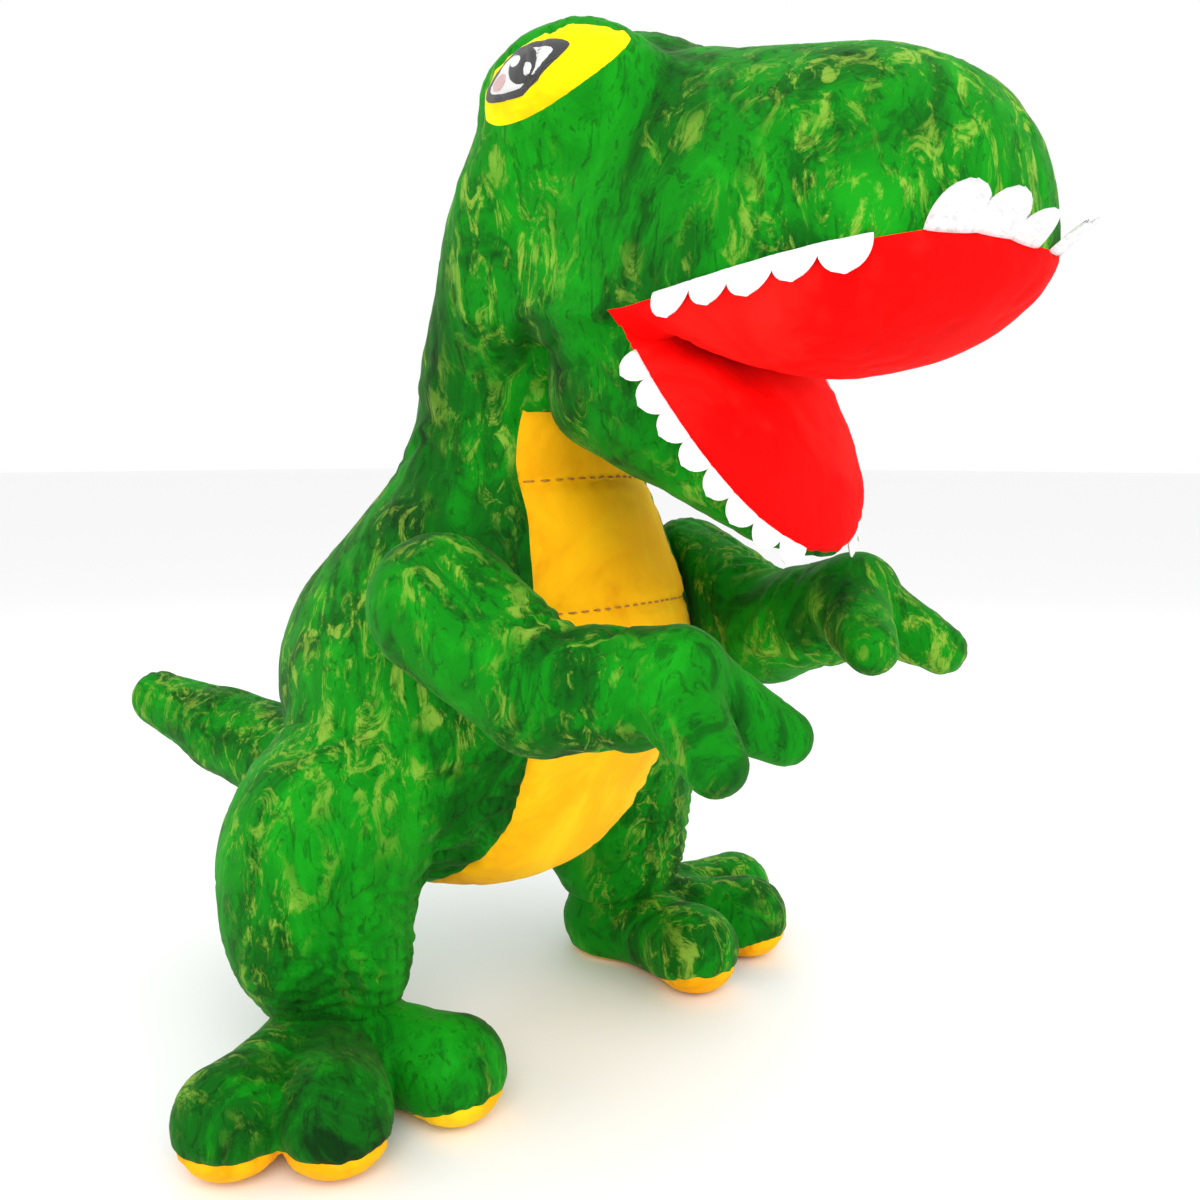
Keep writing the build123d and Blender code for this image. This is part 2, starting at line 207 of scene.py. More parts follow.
def lip_height(y):
    """Height of the upper lip seam above the floor at y."""
    return eased(MUZZLE, 1, -y)


def muzzle_field(p):
    """Muzzle with its palate as the underside."""
    x, y, z = p
    forward = -y
    rise = z - lip_height(y)
    half_width = np.maximum(eased(MUZZLE, 2, forward), 5)
    crown = np.maximum(eased(MUZZLE, 3, forward), 5)
    bulge = np.maximum(eased(MUZZLE, 4, forward), 3)
    side = np.abs(x) / half_width
    above = np.abs(rise) / crown
    over = (side**CROWN_SQUARENESS + above**CROWN_SQUARENESS) ** (1 / CROWN_SQUARENESS)
    under = np.sqrt(side**2 + (rise / bulge) ** 2)
    field = np.where(rise > 0, (over - 1) * np.minimum(half_width, crown), (under - 1) * bulge)
    return between(field, MUZZLE, forward)


# Leg sections: height, centre x, centre y, radius.
LEG = [
    (58, 170, 0, 40),
    (64, 170, 0, 52),
    (76, 171, 1, 59),
    (92, 173, 5, 67),
    (125, 175, 9, 74),
    (165, 173, 8, 79),
    (210, 163, 4, 84),
    (250, 145, 0, 80),
    (285, 116, -3, 62),
    (315, 92, -4, 34),
]


def leg_field(p):
    """Both legs."""
    x, y, z = p
    middle_x = eased(LEG, 1, z)
    middle_y = eased(LEG, 2, z)
    radius = eased(LEG, 3, z)
    field = np.sqrt((np.abs(x) - middle_x) ** 2 + (y - middle_y) ** 2) - radius
    return between(field, LEG, z)


# Tail: centre and radius of each station.
TAIL = [
    ((0, 95, 190), 44),
    ((0, 128, 172), 62),
    ((0, 165, 158), 69),
    ((-12, 260, 174), 56),
    ((-34, 375, 198), 43),
    ((-58, 470, 224), 30),
]


def tail_field(p):
    """Tail and its root."""
    field = None
    for (start, start_radius), (end, end_radius) in zip(TAIL[:-1], TAIL[1:]):
        piece = link(p, start, start_radius, end, end_radius)
        field = piece if field is None else joined(field, piece, 14)
    return field


# Brows and cheeks: centre and radii of the left one.
BROW = (84, -178, 734)
BROW_RADII = (45, 74, 46)
CHEEK = (84, jaw_hinge.y + 38, jaw_hinge.z - 2)
CHEEK_RADII = (34, 46, 44)
LEG_BLEND = 30
TAIL_SEAM_INSET = 4


def body_field(p):
    """Everything in one skin: torso, legs, tail root, neck, skull, brows and muzzle."""
    x, y, z = p
    head = joined(column_field(p), muzzle_field(p), 14)
    mirrored = (np.abs(x), y, z)
    head = joined(head, egg(mirrored, BROW, BROW_RADII), 16)
    head = joined(head, egg(mirrored, CHEEK, CHEEK_RADII), 16)
    body = joined(head, leg_field(p), LEG_BLEND)
    root = np.maximum(tail_field(p), y - (tail_root.y - TAIL_SEAM_INSET))
    return joined(body, root, 8)


JAW_DROP = math.radians(59)
jaw_along = Vector((0, -math.cos(JAW_DROP), -math.sin(JAW_DROP)))
jaw_up = Vector((0, -math.sin(JAW_DROP), math.cos(JAW_DROP)))
JAW_SETBACK = 5.0
JAW_SQUARENESS = 2.9
# Jaw, by distance from the hinge: half-width, lining bulge, depth.
JAW = [
    (-50, 98, 2, 105),
    (-20, 105, 2, 122),
    (6, 112, 5, 128),
    (40, 109, 16, 108),
    (88, 97, 24, 70),
    (125, 80, 24, 44),
    (150, 61, 19, 28),
    (166, 39, 13, 16),
    (175, 18, 6, 8),
    (177, 6, 3, 4),
]


# Where the jaw's fabric would turn from following the head to following the jaw; the script uses it only
# as a flag that bakes a piece's transform.
JAW_BEND = ("head", "jaw", (jaw_hinge - jaw_along * 30) * MM, (jaw_hinge + jaw_along * 45) * MM)


def jaw_frame(p):
    """Distance along the jaw from its hinge, and height above its lip seam."""
    _, y, z = p
    along = (y - jaw_hinge.y) * jaw_along.y + (z - jaw_hinge.z) * jaw_along.z
    rise = (y - jaw_hinge.y) * jaw_up.y + (z - jaw_hinge.z) * jaw_up.z + JAW_SETBACK
    return along, rise


def jaw_field(p):
    """Lower jaw."""
    along, rise = jaw_frame(p)
    half_width = np.maximum(eased(JAW, 1, along), 5)
    bulge = np.maximum(eased(JAW, 2, along), 2)
    depth = np.maximum(eased(JAW, 3, along), 3)
    height = np.where(rise > 0, bulge, depth)
    power = np.where(rise > 0, 2.0, JAW_SQUARENESS)
    side = np.abs(p[0]) / half_width
    ring = (side**power + (np.abs(rise) / height) ** power) ** (1 / power) - 1
    field = ring * np.minimum(half_width, height)
    return between(field, JAW, along)


# Left arm as the right one hangs: ball-ended cones, as offsets from the shoulder joint.
ARM = [
    ((7, 4, -4), 53, (-1, -90, -54), 46),
    ((-1, -90, -54), 46, (-17, -154, -47), 40),
    ((-17, -154, -47), 40, (-23, -188, -36), 34),
]
FINGERS = [
    ((-16, -184, -40), 31, (6, -241, -80), 20),
    ((-32, -184, -40), 31, (-78, -234, -78), 19),
]
arm_axis = Vector(joints["arm_left_swing"]["axis"]).normalized()
LEFT_ARM_LIFT = math.radians(11)
ARM_PLANE_INSET = -12.0


def arm_field(p):
    """One arm, flat on the side that rests on the torso."""
    field = None
    for start, start_radius, end, end_radius in ARM + FINGERS:
        start = [a + b for a, b in zip(shoulder, start)]
        end = [a + b for a, b in zip(shoulder, end)]
        piece = link(p, start, start_radius, end, end_radius)
        field = piece if field is None else joined(field, piece, 6)
    inward = (shoulder.x - p[0]) * arm_axis.x
    inward = inward + (shoulder.y - p[1]) * arm_axis.y
    inward = inward + (shoulder.z - p[2]) * arm_axis.z
    return kept(field, inward + ARM_PLANE_INSET, 14)


# Left foot: centre of each toe end, and the hub that the toes spread from.
TOES = [(294, -52, 37), (244, -104, 37), (147, -116, 37)]
TOE_RADIUS = 40
TOE_ROOT_RADIUS = 42
TOE_WAIST_RADIUS = 36
TOE_ROOT_SHARE = 0.2
TOE_WAIST_SHARE = 0.62
FOOT_HUB = (170, 2, 34)


def foot_field(p):
    """Left foot: three fat toes that meet under the ankle, flat below."""
    field = link(p, FOOT_HUB, 52, (170, 0, 60), 46)
    for toe in TOES:
        root = [h + (t - h) * TOE_ROOT_SHARE for h, t in zip(FOOT_HUB, toe)]
        waist = [h + (t - h) * TOE_WAIST_SHARE for h, t in zip(FOOT_HUB, toe)]
        field = joined(field, link(p, root, TOE_ROOT_RADIUS, waist, TOE_WAIST_RADIUS), 10)
        field = joined(field, link(p, waist, TOE_WAIST_RADIUS, toe, TOE_RADIUS), 7)
    return kept(field, floor_z + 0.6 - p[2], 9)


# ---- Meshes from fields -------------------------------------------------------------------

def surface(field, low, high, step):
    """Points and quads of a field's surface inside a box, in millimetres."""
    axes = [np.arange(a, b + step, step) for a, b in zip(low, high)]
    grid = np.meshgrid(*axes, indexing="ij")
    values = field(grid)
    slope = np.gradient(values, step)
    steep = np.sqrt(sum(part * part for part in slope))
    values = np.clip(values / np.maximum(steep, 0.2), -3 * step, 3 * step)
    volume = openvdb.FloatGrid(float(3 * step))
    volume.copyFromArray(values.astype(np.float32))
    volume.transform = openvdb.createLinearTransform(step)
    points, quads = volume.convertToQuads(0.0)
    points, quads = points.astype(float) + np.array(low, float), quads.astype(int)
    middle = points[quads].mean(axis=1) - points.mean(axis=0)
    facing = np.cross(points[quads[:, 2]] - points[quads[:, 0]], points[quads[:, 3]] - points[quads[:, 1]])
    return points, quads if (middle * facing).sum() > 0 else quads[:, ::-1]


class Skin:
    """Points and quads that stay together while they are shaped, then split into panels."""

    def __init__(self, points, quads):
        self.points = points
        self.quads = quads
        pairs = np.concatenate([quads[:, [a, (a + 1) % 4]] for a in range(4)])
        self.edges = np.unique(np.sort(pairs, axis=1), axis=0)

    def relax(self, rounds, amount=0.5):
        """Even out the surface without shrinking it much."""
        for strength in [amount, -amount * 1.03] * rounds:
            total = np.zeros_like(self.points)
            count = np.zeros(len(self.points))
            for a, b in ((0, 1), (1, 0)):
                np.add.at(total, self.edges[:, a], self.points[self.edges[:, b]])
                np.add.at(count, self.edges[:, a], 1)
            self.points += strength * (total / count[:, None] - self.points)

    def normals(self):
        """Outward direction at each point."""
        corners = self.points[self.quads]
        faces = np.cross(corners[:, 2] - corners[:, 0], corners[:, 3] - corners[:, 1])
        total = np.zeros_like(self.points)
        for corner in range(4):
            np.add.at(total, self.quads[:, corner], faces)
        return total / np.maximum(np.linalg.norm(total, axis=1, keepdims=True), 1e-9)

    def seam(self, rule):
        """Slide the points between the two sides of a rule onto the line where it changes sign."""
        inside = rule(self.points[self.quads].mean(axis=1).T) > 0
        edge = np.intersect1d(self.quads[inside], self.quads[~inside])
        outward = self.normals()[edge].T
        for _ in range(SEAM_ROUNDS):
            spots = self.points[edge].T
            steps = 0.5 * np.eye(3)[:, :, None]
            slope = np.array([rule(spots + step) - rule(spots - step) for step in steps])
            slope -= outward * (slope * outward).sum(axis=0)
            move = -rule(spots) * slope / np.maximum((slope * slope).sum(axis=0), 0.05)
            length = np.maximum(np.linalg.norm(move, axis=0), 1e-9)
            self.points[edge] += (move * np.minimum(1, SEAM_REACH / length)).T

    def panel(self, rules, inside):
        """Faces for which each rule has the wanted sign."""
        centre = self.points[self.quads].mean(axis=1).T
        chosen = np.ones(len(self.quads), bool)
        for rule, wanted in zip(rules, inside):
            chosen &= (rule(centre) > 0) == wanted
        return chosen


def waves(points, size, seed):
    """Smooth noise at each point."""
    shift = Vector((seed * 17.3, seed * 7.1, seed * 3.7))
    return np.array([noise.noise(Vector(point) / size + shift) for point in points])


def build_mesh(name, points, faces):
    """New object from millimetre points."""
    mesh = bpy.data.meshes.new(name)
    mesh.from_pydata((np.asarray(points) * MM).tolist(), [], [list(map(int, face)) for face in faces])
    mesh.shade_smooth()
    obj = bpy.data.objects.new(name, mesh)
    bpy.context.scene.collection.objects.link(obj)
    return obj


def cut_out(name, skin, chosen):
    """Object made of the chosen faces of a skin."""
    faces = skin.quads[chosen]
    used, renumbered = np.unique(faces, return_inverse=True)
    return build_mesh(name, skin.points[used], renumbered.reshape(faces.shape))


# ---- Materials ----------------------------------------------------------------------------

class Graph:
    """Short way to build a shader."""

    def __init__(self, name):
        self.material = bpy.data.materials.new(name)
        self.material.use_nodes = True
        self.tree = self.material.node_tree
        self.shader = self.tree.nodes["Principled BSDF"]
        self.place = self.tree.nodes.new("ShaderNodeTexCoord").outputs["Object"]

    def node(self, kind, **settings):
        """New shader node; settings are its properties or its inputs."""
        made = self.tree.nodes.new("ShaderNode" + kind)
        for key, value in settings.items():
            if hasattr(made, key):
                setattr(made, key, value)
            else:
                made.inputs[key].default_value = value
        return made

    def link(self, one, two):
        """Join an output to an input."""
        self.tree.links.new(one, two)

    def stretched(self, scale, turn=(0, 0, 0)):
        """Object position, scaled unevenly so that a texture runs in streaks."""
        mapping = self.node("Mapping")
        mapping.inputs["Scale"].default_value = scale
        mapping.inputs["Rotation"].default_value = turn
        self.link(self.place, mapping.inputs["Vector"])
        return mapping.outputs["Vector"]

    def noise(self, scale, detail=3.0, roughness=0.5, distortion=0.0, vector=None):
        made = self.node("TexNoise")
        made.inputs["Scale"].default_value = scale
        made.inputs["Detail"].default_value = detail
        made.inputs["Roughness"].default_value = roughness
        made.inputs["Distortion"].default_value = distortion
        self.link(vector or self.place, made.inputs["Vector"])
        return made.outputs["Fac"]

    def ramp(self, factor, stops):
        """Colour by factor, eased between (position, colour) stops."""
        made = self.node("ValToRGB")
        made.color_ramp.interpolation = "EASE"
        while len(made.color_ramp.elements) < len(stops):
            made.color_ramp.elements.new(0.5)
        for element, (position, colour) in zip(made.color_ramp.elements, stops):
            element.position = position
            element.color = (*colour, 1)
        self.link(factor, made.inputs["Fac"])
        return made.outputs["Color"]

    def mixed(self, factor, one, two, blend_type="MIX"):
        """Two colours mixed by a factor; each is a value or an output."""
        made = self.node("Mix", data_type="RGBA", blend_type=blend_type)
        for socket, value in ((made.inputs[0], factor), (made.inputs[6], one), (made.inputs[7], two)):
            if hasattr(value, "is_linked"):
                self.link(value, socket)
            else:
                socket.default_value = value if isinstance(value, float) else (*value, 1)
        return made.outputs[2]

    def bump(self, layers):
        """Stack of (height, strength, millimetres deep)."""
        below = None
        for height, strength, depth in layers:
            made = self.node("Bump")
            made.inputs["Strength"].default_value = strength
            made.inputs["Distance"].default_value = depth * MM
            self.link(height, made.inputs["Height"])
            if below:
                self.link(below, made.inputs["Normal"])
            below = made.outputs["Normal"]
        self.link(below, self.shader.inputs["Normal"])


WHITE_STOP = (1.0, 1.0, 1.0)
BLACK_STOP = (0.0, 0.0, 0.0)


def pile_bump(graph):
    """Short brushed pile: fine fibres, brushed patches and soft dents."""
    fibres = graph.noise(900, 2, 0.7, vector=graph.stretched((1, 1, 0.45)))
    brushed = graph.noise(95, 3, 0.6, 0.6, vector=graph.stretched((1, 0.7, 0.35), (0.4, 0.2, 0.3)))
    dents = graph.noise(26, 3, 0.55, 0.4)
    graph.bump([(dents, 0.5, 3.2), (brushed, 0.45, 1.2), (fibres, 0.55, 0.5)])


def plush(name, colour_stops, sheen_tint, roughness=0.78):
    """Short-pile velboa in one dye, lighter and darker where the pile lies differently."""
    graph = Graph(name)
    tone = graph.noise(11, 4, 0.6, 0.8, vector=graph.stretched((1, 0.8, 0.6), (0.2, 0.5, 0.1)))
    graph.link(graph.ramp(tone, colour_stops), graph.shader.inputs["Base Color"])
    finish_plush(graph, sheen_tint, roughness)
    return graph.material


def finish_plush(graph, sheen_tint, roughness):
    """Roughness, sheen and pile that every plush shares."""
    graph.shader.inputs["Roughness"].default_value = roughness
    graph.shader.inputs["Specular IOR Level"].default_value = 0.10
    graph.shader.inputs["Sheen Weight"].default_value = 0.07
    graph.shader.inputs["Sheen Roughness"].default_value = 0.4
    graph.shader.inputs["Sheen Tint"].default_value = (*sheen_tint, 1)
    pile_bump(graph)


def green_plush():
    """Mottled dye: deep green clouds, bright green, and pale streaks where the pile is brushed."""
    graph = Graph("green_plush")
    turned = graph.stretched((1.0, 0.75, 0.42), (0.5, 0.35, 0.2))
    clouds = graph.noise(13, 6, 0.66, 1.2, vector=turned)
    base = graph.ramp(clouds, [
        (0.30, (0.0, 0.028, 0.001)),
        (0.43, (0.0005, 0.105, 0.002)),
        (0.52, (0.001, 0.20, 0.003)),
        (0.66, (0.004, 0.28, 0.005)),
    ])
    patches = graph.ramp(graph.noise(6.0, 3, 0.55, 1.0), [(0.42, BLACK_STOP), (0.60, WHITE_STOP)])
    streaks = graph.noise(48, 6, 0.72, 1.3, vector=graph.stretched((1.2, 0.9, 0.42), (0.7, 0.4, 0.3)))
    pale = graph.ramp(streaks, [(0.50, BLACK_STOP), (0.62, WHITE_STOP)])
    brushed = graph.mixed(1.0, patches, pale, "MULTIPLY")
    veil = graph.mixed(0.66, BLACK_STOP, brushed)
    coloured = graph.mixed(veil, base, (0.30, 0.48, 0.05))
    flecks = graph.noise(60, 4, 0.7, 2.0, vector=graph.stretched((1.3, 1.0, 0.4), (0.2, 0.8, 0.5)))
    dark = graph.ramp(flecks, [(0.36, (0.30, 0.45, 0.30)), (0.47, WHITE_STOP)])
    graph.link(graph.mixed(0.75, coloured, dark, "MULTIPLY"), graph.shader.inputs["Base Color"])
    finish_plush(graph, (0.75, 1.0, 0.45), 0.74)
    return graph.material


def felt():
    """Pressed white felt with a matted fibre surface."""
    graph = Graph("white_felt")
    tone = graph.noise(160, 5, 0.7, 1.5)
    white = graph.ramp(tone, [(0.3, (0.60, 0.60, 0.61)), (0.6, (0.86, 0.86, 0.86))])
    graph.link(white, graph.shader.inputs["Base Color"])
    graph.shader.inputs["Roughness"].default_value = 0.92
    graph.shader.inputs["Specular IOR Level"].default_value = 0.15
    graph.shader.inputs["Sheen Weight"].default_value = 0.25
    graph.bump([(graph.noise(70, 3, 0.6), 0.4, 0.9), (graph.noise(520, 4, 0.75, 2.0), 0.6, 0.5)])
    return graph.material


def thread(name, dark, light):
    """Satin-stitch embroidery or sewing thread: fine parallel ridges with a sheen, painted shade between
    the rows and painted highlight on the ridges.
    """
    graph = Graph(name)
    rows = graph.node("TexWave", wave_type="BANDS", bands_direction="DIAGONAL")
    rows.inputs["Scale"].default_value = 420
    rows.inputs["Distortion"].default_value = 1.5
    rows.inputs["Detail"].default_value = 1.0
    graph.link(graph.place, rows.inputs["Vector"])
    # Painted shade and highlight: the colour runs from the dark value between thread rows to the light
    # value on each ridge, following the bump.
    tone = graph.ramp(rows.outputs["Fac"], [(0.2, dark), (0.8, light)])
    graph.link(tone, graph.shader.inputs["Base Color"])
    graph.shader.inputs["Roughness"].default_value = 0.5
    graph.shader.inputs["Sheen Weight"].default_value = 0.2
    graph.bump([(rows.outputs["Fac"], 0.6, 0.35)])
    return graph.material


GREEN = green_plush()
YELLOW = plush("yellow_plush", [
    (0.3, (0.78, 0.28, 0.0)),
    (0.48, (0.98, 0.47, 0.002)),
    (0.7, (1.0, 0.60, 0.008)),
], (1.0, 0.85, 0.3))
PATCH = plush("patch_plush", [
    (0.3, (0.95, 0.62, 0.0)),
    (0.5, (1.0, 0.80, 0.0)),
    (0.72, (1.0, 0.90, 0.12)),
], (1.0, 0.95, 0.5))
RED = plush("red_plush", [
    (0.3, (0.72, 0.0, 0.0)),
    (0.5, (0.95, 0.0, 0.0)),
    (0.7, (1.0, 0.012, 0.008)),
], (1.0, 0.1, 0.05), 0.85)
FELT = felt()
# The darker and lighter colour of each thread are its painted shade between rows and painted highlight on
# the ridges.
BLACK_THREAD = thread("black_thread", (0.004, 0.004, 0.004), (0.035, 0.035, 0.035))
WHITE_THREAD = thread("white_thread", (0.55, 0.54, 0.53), (0.85, 0.84, 0.83))
PINK_THREAD = thread("pink_thread", (0.45, 0.26, 0.26), (0.68, 0.46, 0.45))
AMBER_THREAD = thread("amber_thread", (0.30, 0.12, 0.0), (0.50, 0.22, 0.0))


def finished(obj, material, body, nodes=(), bend=None):
    """Give a piece its material, hide the CAD nodes that it stands for, and attach it to its body; a piece
    given a bend only has its transform baked and is not attached.
    """
    obj.data.materials.clear()
    obj.data.materials.append(material)
    if nodes:
        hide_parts(*nodes)
    if bend:
        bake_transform(obj)
    else:
        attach(obj, body)
    return obj


def panel_piece(name, skin, chosen, material, body, nodes, bend=None):
    """The chosen faces of a skin as one finished piece."""
    return finished(cut_out(name, skin, chosen), material, body, nodes, bend)


# ---- Camera, floor and light --------------------------------------------------------------

CAMERA_PLACE = (-701, -761, 493)
CAMERA_AZIMUTH = math.radians(-48)
CAMERA_PITCH = math.radians(7)


def camera_and_light():
    """Camera at the toy's front right, a seamless pale floor and soft light from above it."""
    scene = bpy.context.scene
    camera = bpy.data.objects.new("camera", bpy.data.cameras.new("camera"))
    camera.location = Vector(CAMERA_PLACE) * MM
    camera.rotation_euler = (math.pi / 2 - CAMERA_PITCH, 0, CAMERA_AZIMUTH)
    camera.data.lens = 36
    camera.data.sensor_width = 36
    scene.collection.objects.link(camera)
    scene.camera = camera

    floor = bpy.data.meshes.new("floor")
    size = 30.0
    corners = [(-size, -size), (size, -size), (size, size), (-size, size)]
    floor.from_pydata([(x, y, floor_z * MM) for x, y in corners], [], [(0, 1, 2, 3)])
    floor_object = bpy.data.objects.new("floor", floor)
    scene.collection.objects.link(floor_object)
    pale = bpy.data.materials.new("pale_floor")
    pale.use_nodes = True
    pale.node_tree.nodes["Principled BSDF"].inputs["Base Color"].default_value = (0.93, 0.93, 0.93, 1)
    pale.node_tree.nodes["Principled BSDF"].inputs["Roughness"].default_value = 0.9
    floor.materials.append(pale)

    lamps = [
        ("key", (-1.5, -1.6, 1.9), 1.6, 34),
        ("front", (0.2, -2.4, 0.9), 1.8, 10),
        ("back", (1.6, 1.2, 1.8), 1.6, 10),
        ("side", (-2.2, 0.6, 1.0), 1.6, 6),
    ]
    for name, place, size, power in lamps:
        lamp = bpy.data.lights.new(name, "AREA")
        lamp.size = size
        lamp.energy = power
        lamp_object = bpy.data.objects.new(name, lamp)
        lamp_object.location = place
        aim = Vector((0, -0.1, 0.42)) - Vector(place)
        lamp_object.rotation_euler = aim.to_track_quat("-Z", "Y").to_euler()
        scene.collection.objects.link(lamp_object)

    world = bpy.data.worlds.new("studio")
    world.use_nodes = True
    world.node_tree.nodes["Background"].inputs["Color"].default_value = (1, 1, 1, 1)
    world.node_tree.nodes["Background"].inputs["Strength"].default_value = 1.0
    scene.world = world
    scene.view_settings.view_transform = "Standard"


camera_and_light()


# ---- Body skin: torso, legs, neck and head --------------------------------------------------

# Belly panel: height and half-width of its outline.
BELLY = [(100, 96), (140, 88), (205, 81), (250, 86), (300, 94), (370, 90), (414, 82), (458, 75), (525, 73)]
BELLY_TOP = 522
STITCH_LINES = [374, 470]
HEAD_SEAM_Y = -190
HEAD_SEAM_LOW = 560
PATCH_CENTRE = (-184, 739)
PATCH_REACH = (60, 26)
PATCH_TILT = math.radians(13)
PATCH_INNER = 78
LEG_SEAM_FACING = (0.60, -0.80)


def belly_rule(p):
    """Positive on the belly panel."""
    x, y, z = p
    side = eased(BELLY, 1, z) - np.abs(x)
    front = eased(COLUMN, 1, z) - y
    return np.minimum(np.minimum(side, front), BELLY_TOP - z)


def palate_rule(p):
    """Positive on the palate, below the upper lip seam."""
    x, y, z = p
    return np.minimum(lip_height(y) - z, jaw_hinge.y + 4 - y)


def patch_rule(p):
    """Positive on the two eye patches."""
    x, y, z = p
    ahead, rise = PATCH_CENTRE[0] - y, z - PATCH_CENTRE[1]
    along = ahead * math.cos(PATCH_TILT) + rise * math.sin(PATCH_TILT)
    across = rise * math.cos(PATCH_TILT) - ahead * math.sin(PATCH_TILT)
    oval = 1 - np.sqrt((along / PATCH_REACH[0]) ** 2 + (across / PATCH_REACH[1]) ** 2)
    return np.minimum(oval * PATCH_REACH[1], np.abs(x) - PATCH_INNER)


def leg_rule(p):
    """Positive where the skin belongs to a leg."""
    return np.minimum(column_field(p) - leg_field(p), 330 - p[2])


def muzzle_rule(p):
    """Positive in front of the head seam."""
    return np.minimum(HEAD_SEAM_Y - p[1], p[2] - HEAD_SEAM_LOW)


def side_rule(p):
    """Positive on the dinosaur's left."""
    return p[0]


def seam_depth(distance, width, depth):
    """Groove of a seam, with its edges pulled in."""
    return -depth * np.exp(-((distance / width) ** 2))


def gathers(p, centre, across, spacing, reach, depth, seed):
    """Soft folds that fade away from a centre."""
    offset = p - np.array(centre)[:, None]
    across = np.array(Vector(across).normalized())
    travel = across @ offset
    wander = waves(p.T, 45, seed) * spacing * 1.3
    fade = np.exp(-((offset / np.array(reach)[:, None]) ** 2).sum(axis=0))
    crest = np.sin((travel + wander) * 2 * math.pi / spacing)
    return depth * (np.abs(crest) ** 0.8 * np.sign(crest) - 0.25) * fade


def soft_relief(p, seed):
    """Uneven filling and cloth: large swells, small dents and creases."""
    points = p.T
    swell = 1.6 * waves(points, 62, seed) + 0.9 * waves(points, 27, seed + 1)
    crease = 1 - np.abs(waves(points, 38, seed + 2)) * 7
    return swell + 0.35 * waves(points, 11, seed + 3) - 0.9 * np.clip(crease, 0, 1) ** 2


def pucker(p, distance, depth, seed):
    """Little gathers that stand across a seam."""
    return depth * waves(p.T, 7.5, seed) * np.exp(-((distance / 13) ** 2))


# Seams of the body: how wide and how deep the groove of each is.
BACK_GROOVE = (3.4, 2.2)
BELLY_GROOVE = (3.6, 2.6)
LIP_GROOVE = (3.0, 1.6)
PATCH_GROOVE = (3.0, 1.8)
HIP_GROOVE = (5.5, 2.2)
HEAD_GROOVE = (3.0, 1.8)
STITCH_GROOVE = (5.5, 3.4)
SHIN_GROOVE = (3.2, 2.0)
SEAM_PUCKER = 1.5
STITCH_PUCKER = 1.2
SKULL_START = 640
HIP_TOP = 320
SHIN_TOP = 118
STITCH_SAG = 4
STITCH_SPAN = 60

# Gathers on both sides: centre, direction across the folds, spacing, reach, depth and seed.
# The first number of a centre and of a direction is towards the outside; a direction whose
# last field is False points the same way on both sides.
GATHERS = [
    ((190, -52, 104), (0.1, 0, 1), 12, (72, 60, 40), 2.3, 50, False),
    ((128, -118, 205), (0.25, 0.3, 1), 18, (52, 70, 60), 3.4, 52, True),
    ((150, -62, 150), (0, 0.2, 1), 14, (60, 46, 40), 2.2, 54, False),
    ((100, -150, 545), (0, 0.5, 1), 22, (40, 45, 40), 2.2, 56, False),
    ((100, -40, 500), (0, -0.2, 1), 34, (40, 60, 60), 1.8, 58, False),
    ((165, 90, 230), (0.2, 0.3, 1), 26, (50, 60, 60), 1.6, 60, False),
]


def shape_body(skin):
    """Seam grooves, gathers and swells of the body skin."""
    p = skin.points.T
    x, y, z = p
    relief = soft_relief(p, 3)
    centred = np.clip(np.abs(y) / 10, 0, 1)
    back_seam = np.where((y > eased(COLUMN, 1, z)) | (z > SKULL_START), np.abs(x), FAR_AWAY)
    seams = [
        (back_seam * centred + FAR_AWAY * (1 - centred), BACK_GROOVE),
        (np.abs(belly_rule(p)), BELLY_GROOVE),
        (np.abs(palate_rule(p)), LIP_GROOVE),
        (np.abs(patch_rule(p)), PATCH_GROOVE),
        (np.where(z < HIP_TOP, np.abs(leg_rule(p)), FAR_AWAY), HIP_GROOVE),
        (np.where(z > HEAD_SEAM_LOW, np.abs(y - HEAD_SEAM_Y), FAR_AWAY), HEAD_GROOVE),
    ]
    for seed, (distance, groove) in enumerate(seams):
        relief += seam_depth(distance, *groove) + pucker(p, distance, SEAM_PUCKER, 20 + seed)
    for level in STITCH_LINES:
        row = level + STITCH_SAG * np.cos(x / STITCH_SPAN)
        line = np.where(belly_rule(p) > 0, np.abs(z - row), FAR_AWAY)
        relief += seam_depth(line, *STITCH_GROOVE) + pucker(p, line, STITCH_PUCKER, 40)
    for side in (-1, 1):
        facing = (x * side - 172) * LEG_SEAM_FACING[0] * side + (y - 5) * LEG_SEAM_FACING[1]
        on_leg = (x * side > 172) & (z < 150) & (y * side < 400)
        shin = np.where(on_leg, np.abs(facing), FAR_AWAY) + np.clip(z - SHIN_TOP, 0, FAR_AWAY)
        relief += seam_depth(shin, *SHIN_GROOVE)
        for (out, *centre), (outward, *across), spacing, reach, depth, seed, turned in GATHERS:
            outward = outward * side if turned else outward
            place = (side * out, *centre)
            relief += gathers(p, place, (outward, *across), spacing, reach, depth, seed)
    skin.points += skin.normals() * relief[:, None]


# Where the neck's fabric would turn from following the torso to following the head; the script uses it
# only as a flag that bakes a piece's transform.
NECK_START = (0, neck.y * MM, (neck.z - 70) * MM)
NECK_END = (0, neck.y * MM, (neck.z + 50) * MM)
NECK_BEND = ("torso", "head", NECK_START, NECK_END)


